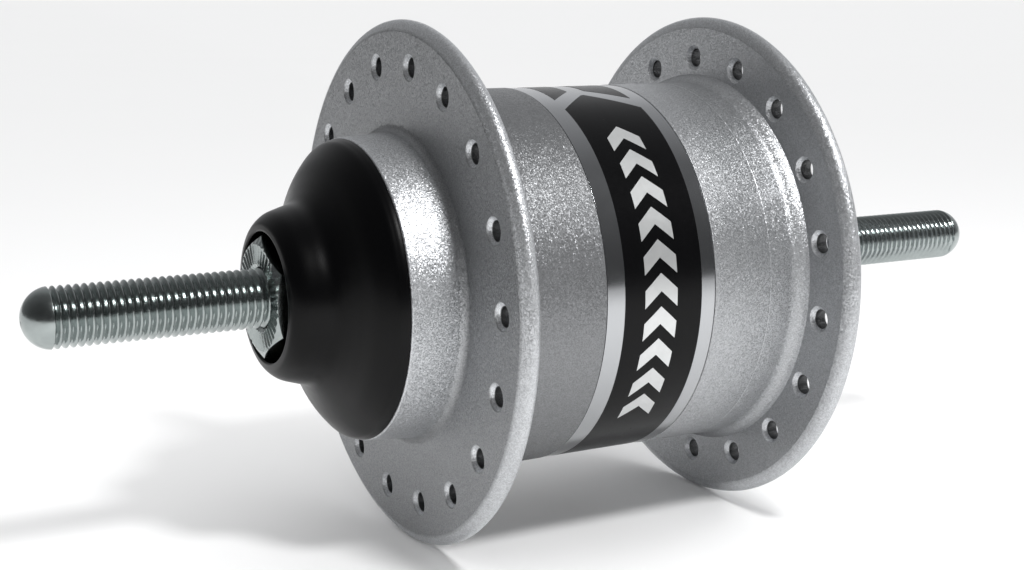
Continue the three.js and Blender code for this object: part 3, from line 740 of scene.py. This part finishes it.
def printed(name, left, right, start, end, height, material, rows):
    """A thin closed patch between two places across the label, from start(y) to end(y) in degrees."""
    columns = max(4, int(abs(end(0) - start(0)) / PRINT_STEP_DEG))
    points, faces = [], []
    for layer in (FOIL_R - PRINT_SUNK, FOIL_R + height):
        for i in range(rows + 1):
            y = right + (left - right) * i / rows
            for j in range(columns + 1):
                angle = start(y) + (end(y) - start(y)) * j / columns
                points.append(at_angle(layer, y, math.radians(180 + angle)))
    width = columns + 1
    size = (rows + 1) * width
    for i in range(rows):
        for j in range(columns):
            a = i * width + j
            faces.append((a, a + 1, a + width + 1, a + width))
            faces.append((size + a, size + a + width, size + a + width + 1, size + a + 1))
    border = [(0, j, 0, j + 1) for j in range(columns)] + [(rows, j, rows, j + 1) for j in range(columns)]
    border += [(i, 0, i + 1, 0) for i in range(rows)] + [(i, columns, i + 1, columns) for i in range(rows)]
    for i0, j0, i1, j1 in border:
        a, b = i0 * width + j0, i1 * width + j1
        faces.append((a, b, size + b, size + a))
    patch = object_from(name, points, faces)
    recalculate_outside(patch)
    shade(patch, 40)
    finish_piece(patch, "shell", "label_foil", material=material)


def panel(name, sides, span, drop, rows=24):
    """A black panel with ends that follow the label's point; drop is 1 for a point and -1 for a notch."""
    low, high = span

    def start(y):
        return low + drop * end_drop(y)

    def end(y):
        return high - drop * end_drop(y)

    printed(name, *sides, start, end, INK_HEIGHT, INK, rows)


def chevron(name, base):
    """One chevron of the row, starting at an angle."""
    middle = (CHEVRON_LEFT + CHEVRON_RIGHT) / 2

    def start(y):
        return base - abs(y - middle) * CHEVRON_SLOPE

    def end(y):
        return start(y) + CHEVRON_THICK

    printed(name, CHEVRON_LEFT, CHEVRON_RIGHT, start, end, MOTIF_HEIGHT, MOTIF, 8)


def make_label():
    """Foil round the barrel, long panels, pairs of short ones beside a silver stripe, and rows of chevrons."""
    low, high = LABEL_FROM + FOIL_MARGIN, LABEL_TO - FOIL_MARGIN
    foil = turned("label_foil_band", rounded([
        (LABEL_SEAT_R + 0.05, low), (FOIL_R, low, 0.04), (FOIL_R, high, 0.04), (LABEL_SEAT_R + 0.05, high),
    ]), SHELL_SIDES)
    shade(foil)
    finish_piece(foil, "shell", "label_foil", ["label_band"])

    for name, span in LONG_PANELS.items():
        panel(f"label_panel_{name}", (PANEL_LEFT, PANEL_RIGHT), span, 1)
    halves = {"left": (PANEL_LEFT, PANEL_RIDGE + STRIPE / 2), "right": (PANEL_RIDGE - STRIPE / 2, PANEL_RIGHT)}
    for name, (low, high) in SHORT_PANELS.items():
        for side, sides in halves.items():
            panel(f"label_rail_{name}_{side}", sides, (low + SHORT_PANEL_GAP, high - SHORT_PANEL_GAP), -1, 12)
    for name, (first, count) in CHEVRON_ROWS.items():
        for i in range(count):
            chevron(f"label_chevron_{name}_{i + 1}", first + CHEVRON_PITCH * i)


# ---------------------------------------------------------------- axle and locknuts


def make_axle():
    """The axle with a rolled thread on both ends that runs into the domes, and a plain middle."""
    per_turn = AXLE_SIDES
    per_pitch = ROWS_PER_PITCH
    step = THREAD_PITCH / per_pitch
    rows = int((2 * AXLE_HALF + 4 * THREAD_PITCH) / step)
    dome_from = AXLE_HALF - AXLE_R + DOME_TRIM

    def thread_r(phase):
        """Radius on the thread's section: a flat crest, straight flanks and a rounded root."""
        distance = abs(phase % 1 - 0.5) * 2
        share = min(1, max(0, (1 - distance - CREST_SHARE) / FLANK_SHARE))
        return AXLE_R - THREAD_DEPTH * share ** ROOT_ROUNDING

    def radius(y, phase):
        along = abs(y)
        if along < AXLE_CORE_HALF:
            return AXLE_CORE_R
        if along < dome_from:
            return thread_r(phase)
        limit = 1 - min(1, (along - dome_from) / (AXLE_HALF - dome_from)) ** 2
        dome = AXLE_R * math.sqrt(max(0, limit))
        return min(dome, thread_r(phase) + THREAD_RUNOUT * (along - dome_from))

    points = []
    for i in range(rows):
        for j in range(per_turn):
            phase = i / per_pitch + j / per_turn
            y = -AXLE_HALF - 2 * THREAD_PITCH + THREAD_PITCH * phase
            y = max(-AXLE_HALF, min(AXLE_HALF, y))
            points.append(at_angle(radius(y, phase), y, TAU * j / per_turn))
    faces = []
    for i in range(rows - 1):
        for j in range(per_turn):
            a = i * per_turn + j
            if j < per_turn - 1:
                faces.append((a, a + 1, a + 1 + per_turn, a + per_turn))
            elif i + per_pitch + 1 < rows:
                b = (i + per_pitch) * per_turn
                faces.append((a, b, b + per_turn, a + per_turn))
    axle = object_from("axle_threaded", points, faces)
    recalculate_outside(axle)
    bore = [[at_angle(ROD_BORE_R, y, TAU * j / 48) for j in range(48)] for y in (-AXLE_HALF - 1, ROD_BORE_TO)]
    cut(axle, loft("rod_bore", bore, closed=False))
    cut(axle, box("key_slot", (-2 * AXLE_R, 2 * AXLE_R), KEY_SLOT_ALONG, KEY_SLOT_WIDTH))
    shade(axle, 60)
    finish_piece(axle, "axle_set", "zinc_steel", ["axle"])


def make_locknut(sign):
    """A hexagon nut with turned-off corners, an inner chamfer and radial serrations on its outer face."""
    count = SERRATIONS * POINTS_PER_SERRATION
    face = LOCKNUT_FACE
    back = LOCKNUT_FACE - LOCKNUT_THICK
    chamfer_r = LOCKNUT_FLATS / 2 - 0.05
    slope = math.tan(math.radians(NUT_CHAMFER_DEG))
    bore = AXLE_R + THREAD_GAP

    def hexagon(angle):
        return LOCKNUT_FLATS / 2 / math.cos((angle % (TAU / 6)) - TAU / 12)

    def groove(angle):
        return SERRATION_DEPTH * (0.5 + 0.5 * math.cos(angle * SERRATIONS)) ** 0.8

    angles = [TAU * j / count for j in range(count)]
    start = TAU / 4

    def ring(radius, height):
        return [at_angle(radius(a), sign * height(a), a + start) for a in angles]

    rings = [
        ring(lambda a: bore, lambda a: back + 0.3),
        ring(lambda a: bore, lambda a: face - 0.6),
        ring(lambda a: bore + 0.55, lambda a: face - 0.12 - 0.2 * groove(a)),
        ring(lambda a: bore + 0.85, lambda a: face - groove(a)),
        ring(lambda a: chamfer_r - 0.5, lambda a: face - groove(a)),
        ring(lambda a: min(hexagon(a) - 0.05, chamfer_r), lambda a: face - 0.05 - 0.55 * groove(a)),
        ring(hexagon, lambda a: face - 0.1 - max(0, hexagon(a) - chamfer_r) * slope),
        ring(hexagon, lambda a: back + 0.1 + max(0, hexagon(a) - chamfer_r) * slope),
        ring(lambda a: min(hexagon(a) - 0.05, chamfer_r), lambda a: back),
        ring(lambda a: bore + 0.4, lambda a: back),
    ]
    name = "left" if sign > 0 else "right"
    nut = loft(f"locknut_{name}", rings)
    shade(nut, 28)
    finish_piece(nut, "axle_set", "zinc_steel", [f"{name}_locknut"])


def make_washer(name, low, high):
    """A plain washer with broken edges."""
    bore = AXLE_R + THREAD_GAP
    corners = [(bore, low, 0.15), (WASHER_R, low, 0.25), (WASHER_R, high, 0.25), (bore, high, 0.15)]
    washer = turned(f"washer_{name}", rounded(corners), 96)
    shade(washer)
    finish_piece(washer, "axle_set", "zinc_steel", [f"{name}_washer"])


# ---------------------------------------------------------------- drive side


def make_driver():
    """The driver: its slotted tube, the race and shoulder, and the sprocket's notched seat."""
    shoulder, shoulder_end = SHOULDER_Y
    groove, groove_end = SNAP_GROOVE_Y
    driver = turned("driver_body", rounded([
        (DRIVER_TUBE_BORE_R, DRIVER_TUBE_END), (DRIVER_TUBE_R, DRIVER_TUBE_END, 0.3),
        (DRIVER_TUBE_R, DRIVER_BODY_FROM, 0.2), (DRIVER_BODY_R, DRIVER_BODY_FROM, 0.1),
        (DRIVER_BODY_R, shoulder + 1.5, 0.6), (DRIVER_BODY_R + 1.51, shoulder),
        (SHOULDER_R, shoulder, 0.4), (SHOULDER_R, shoulder_end, 0.4),
        (COLLAR_R, shoulder_end - 0.2, 0.3), (COLLAR_R, COLLAR_END, 0.3),
        (DRIVER_SEAT_R, COLLAR_END, 0.2), (DRIVER_SEAT_R, groove, 0.15), (SNAP_GROOVE_R, groove, 0.1),
        (SNAP_GROOVE_R, groove_end, 0.1), (DRIVER_SEAT_R, groove_end, 0.15), (DRIVER_SEAT_R, DRIVER_END, 0.35),
        (CAP_SEAT_R, DRIVER_END, 0.15), (CAP_SEAT_R, groove_end), (RACE_R, groove_end), (RACE_R, RACE_Y),
        (RACE_WEB_R, RACE_WEB_Y), (DRIVER_BORE_R, RACE_WEB_Y, 0.2), (DRIVER_BORE_R, DRIVER_CAVITY_FROM, 0.2),
        (DRIVER_CAVITY_R, DRIVER_CAVITY_FROM), (DRIVER_CAVITY_R, -21), (DRIVER_TUBE_BORE_R, -21),
    ], 3), 160)
    slot = (DRIVER_CAVITY_R, DRIVER_TUBE_R + 1.4), (-20, -5)
    slots = [turn_about_axle(box("slot", *slot, ARM_SLOT_WIDTH), 90 * i) for i in range(ARM_SLOTS)]
    notch = (SNAP_GROOVE_R - 0.1, 18), (groove, COLLAR_END + 0.05)
    angles = [NOTCH_FIRST_DEG + 360 / NOTCHES * i for i in range(NOTCHES)]
    notches = [turn_about_axle(box("notch", *notch, NOTCH_WIDTH), angle) for angle in angles]
    cut(driver, joined(slots))
    cut(driver, joined(notches))
    shade(driver)
    finish_piece(driver, "driver", "hard_steel", ["driver"])


def make_driver_cap():
    """The black dust cap in the driver's end."""
    face, back = CAP_Y
    cap = turned("driver_dust_seal", rounded([
        (DRIVER_BORE_R, face, 0.2), (CAP_R, face, 0.3), (CAP_R, back), (9.6, back, 0.2),
        (DRIVER_BORE_R, -49.2, 0.1),
    ], 3), 120)
    shade(cap)
    finish_piece(cap, "driver", "black_plastic", ["driver_dust_cap"])


def make_snap_ring():
    """The open ring that holds the sprocket."""
    inner, outer = SNAP_RING_R
    low, high = SNAP_RING_Y
    ring = turned("snap_ring", rounded([
        (inner, low, 0.2), (outer, low, 0.35), (outer, high, 0.35), (inner, high, 0.2),
    ], 3), 160)
    cut(ring, turn_about_axle(box("gap", (15, 20), (-49, -47), SNAP_RING_GAP), 90))
    shade(ring)
    finish_piece(ring, "driver", "bright_steel", ["sprocket_snap_ring"])


def make_right_cone():
    """The right bearing's cone, with a collar outside its race."""
    bore = AXLE_R + THREAD_GAP
    cone = turned("right_bearing_cone", rounded([
        (bore, -40), (7.42, -40, 0.3), (7.42, RACE_Y, 1.2), (8.93, -46.58, 0.3), (9.6, -46.58, 0.2),
        (9.6, -47.6, 0.2), (8, -47.9, 0.2), (8, -50.5, 0.25), (bore, -50.5, 0.15),
    ], 3), 120)
    shade(cone)
    finish_piece(cone, "axle_set", "hard_steel", ["right_cone"])


# ---------------------------------------------------------------- pieces kept from the CAD model


def smooth_by_angle():
    """A modifier's node group: smooth shading, with sharp edges where faces meet at more than an angle."""
    group = bpy.data.node_groups.new("smooth_by_angle", "GeometryNodeTree")
    group.interface.new_socket("Geometry", in_out="INPUT", socket_type="NodeSocketGeometry")
    group.interface.new_socket("Geometry", in_out="OUTPUT", socket_type="NodeSocketGeometry")
    start = group.nodes.new("NodeGroupInput")
    end = group.nodes.new("NodeGroupOutput")
    faces = group.nodes.new("GeometryNodeSetShadeSmooth")
    faces.domain = "FACE"
    edges = group.nodes.new("GeometryNodeSetShadeSmooth")
    edges.domain = "EDGE"
    edges.inputs["Shade Smooth"].default_value = False
    angle = group.nodes.new("GeometryNodeInputMeshEdgeAngle")
    steep = group.nodes.new("FunctionNodeCompare")
    steep.operation = "GREATER_THAN"
    steep.inputs["B"].default_value = math.radians(SHARP_DEG)
    group.links.new(angle.outputs["Unsigned Angle"], steep.inputs["A"])
    group.links.new(start.outputs["Geometry"], faces.inputs["Geometry"])
    group.links.new(faces.outputs["Geometry"], edges.inputs["Geometry"])
    group.links.new(steep.outputs["Result"], edges.inputs["Selection"])
    group.links.new(edges.outputs["Geometry"], end.inputs["Geometry"])
    return group


def dress_cad_nodes():
    """Every CAD node that still shows gets its slot's material, softly broken edges and smooth shading."""
    smoothing = smooth_by_angle()
    slots = {entry["node"]: entry["material_slot"] for entry in frame["record"]["subparts"]}
    for name, node in frame["nodes"].items():
        if node.hide_render:
            continue
        node.data.materials.clear()
        node.data.materials.append(MATERIALS[slots[name]])
        node.modifiers.new("weld", "WELD").merge_threshold = WELD_GAP * MM
        edges = node.modifiers.new("edges", "BEVEL")
        edges.width = EDGE_BREAK * MM
        edges.segments = 2
        edges.limit_method = "ANGLE"
        edges.angle_limit = math.radians(SHARP_DEG)
        node.modifiers.new("smooth", "NODES").node_group = smoothing


# ---------------------------------------------------------------- stage


def make_stage():
    """A pale lit table under the hub. It reaches far behind the hub and ends behind the camera."""
    floor_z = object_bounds()[0][2] - FLOOR_GAP
    forward = Vector((-math.sin(AZIMUTH), math.cos(AZIMUTH), 0))
    side = Vector((math.cos(AZIMUTH), math.sin(AZIMUTH), 0))
    near, far, wide = -TABLE_FRONT, TABLE_BACK, TABLE_WIDE
    corners = [(near, -wide), (near, wide), (far, wide), (far, -wide)]
    points = [tuple(forward * a + side * b + Vector((0, 0, floor_z))) for a, b in corners]
    floor = object_from("floor", points, [(0, 1, 2, 3)])
    floor.data.materials.append(floor_paper())


def make_table_light():
    """A very soft light from above for the table alone: bright metal doesn't mirror it."""
    sun = bpy.data.lights.new("table_light", "SUN")
    sun.energy = TABLE_LIGHT
    sun.angle = math.radians(TABLE_LIGHT_SPREAD_DEG)
    holder = bpy.data.objects.new("table_light", sun)
    bpy.context.scene.collection.objects.link(holder)
    holder.visible_glossy = False


def make_light(name, place, size, power):
    """A round softbox at a place in metres, turned towards the hub's middle."""
    light = bpy.data.lights.new(name, "AREA")
    light.shape = "DISK"
    light.size = size
    light.energy = power
    holder = bpy.data.objects.new(name, light)
    bpy.context.scene.collection.objects.link(holder)
    holder.location = place
    holder.rotation_euler = Vector(place).to_track_quat("Z", "Y").to_euler()


def make_world():
    """White behind the hub, as the camera sees it, while a dim room with a bright far side lights the hub."""
    world = bpy.data.worlds.new("studio")
    bpy.context.scene.world = world
    world.use_nodes = True
    tree = world.node_tree
    tree.nodes.clear()
    place = tree.nodes.new("ShaderNodeTexCoord")
    towards = tree.nodes.new("ShaderNodeVectorMath")
    towards.operation = "DOT_PRODUCT"
    towards.inputs[1].default_value = Vector(BRIGHT_SIDE).normalized()
    level = tree.nodes.new("ShaderNodeMapRange")
    level.inputs["From Min"].default_value = -1.0
    ramp = tree.nodes.new("ShaderNodeValToRGB")
    stops = ramp.color_ramp.elements
    while len(stops) < len(ROOM):
        stops.new(0.5)
    for stop, (position, light) in zip(stops, ROOM):
        stop.position = position
        stop.color = (light, light * 1.01, light * 1.03, 1)
    room = tree.nodes.new("ShaderNodeBackground")
    white = tree.nodes.new("ShaderNodeBackground")
    white.inputs["Color"].default_value = (1, 1, 1, 1)
    ray = tree.nodes.new("ShaderNodeLightPath")
    mix = tree.nodes.new("ShaderNodeMixShader")
    out = tree.nodes.new("ShaderNodeOutputWorld")
    tree.links.new(place.outputs["Generated"], towards.inputs[0])
    tree.links.new(towards.outputs["Value"], level.inputs["Value"])
    tree.links.new(level.outputs["Result"], ramp.inputs["Fac"])
    tree.links.new(ramp.outputs["Color"], room.inputs["Color"])
    tree.links.new(ray.outputs["Is Camera Ray"], mix.inputs["Fac"])
    tree.links.new(room.outputs["Background"], mix.inputs[1])
    tree.links.new(white.outputs["Background"], mix.inputs[2])
    tree.links.new(mix.outputs["Shader"], out.inputs["Surface"])


# ---------------------------------------------------------------- camera


def make_camera():
    """The camera, moved a little left and down from a line through the hub's middle."""
    level = math.cos(ELEVATION)
    forward = Vector((-math.sin(AZIMUTH) * level, math.cos(AZIMUTH) * level, -math.sin(ELEVATION)))
    right = Vector((math.cos(AZIMUTH), math.sin(AZIMUTH), 0))
    up = right.cross(forward)
    camera = bpy.data.objects.new("camera", bpy.data.cameras.new("camera"))
    bpy.context.scene.collection.objects.link(camera)
    camera.location = -forward * DISTANCE + right * PAN_RIGHT + up * PAN_UP
    camera.rotation_euler = (-forward).to_track_quat("Z", "Y").to_euler()
    camera.data.lens = LENS
    camera.data.sensor_width = SENSOR
    camera.data.clip_start = 0.01
    bpy.context.scene.camera = camera


# ---------------------------------------------------------------- the whole scene

make_camera()
make_shell()
make_dust_cover()
make_label()
make_axle()
make_locknut(1)
make_locknut(-1)
make_washer("left", *LEFT_WASHER)
make_washer("right", *RIGHT_WASHER)
make_driver()
make_driver_cap()
make_snap_ring()
make_right_cone()
dress_cad_nodes()
make_stage()
make_table_light()
make_light("key", KEY_PLACE, KEY_SIZE, KEY_POWER)
make_light("rim", RIM_PLACE, RIM_SIZE, RIM_POWER)
make_world()
bpy.context.scene.view_settings.view_transform = "Standard"
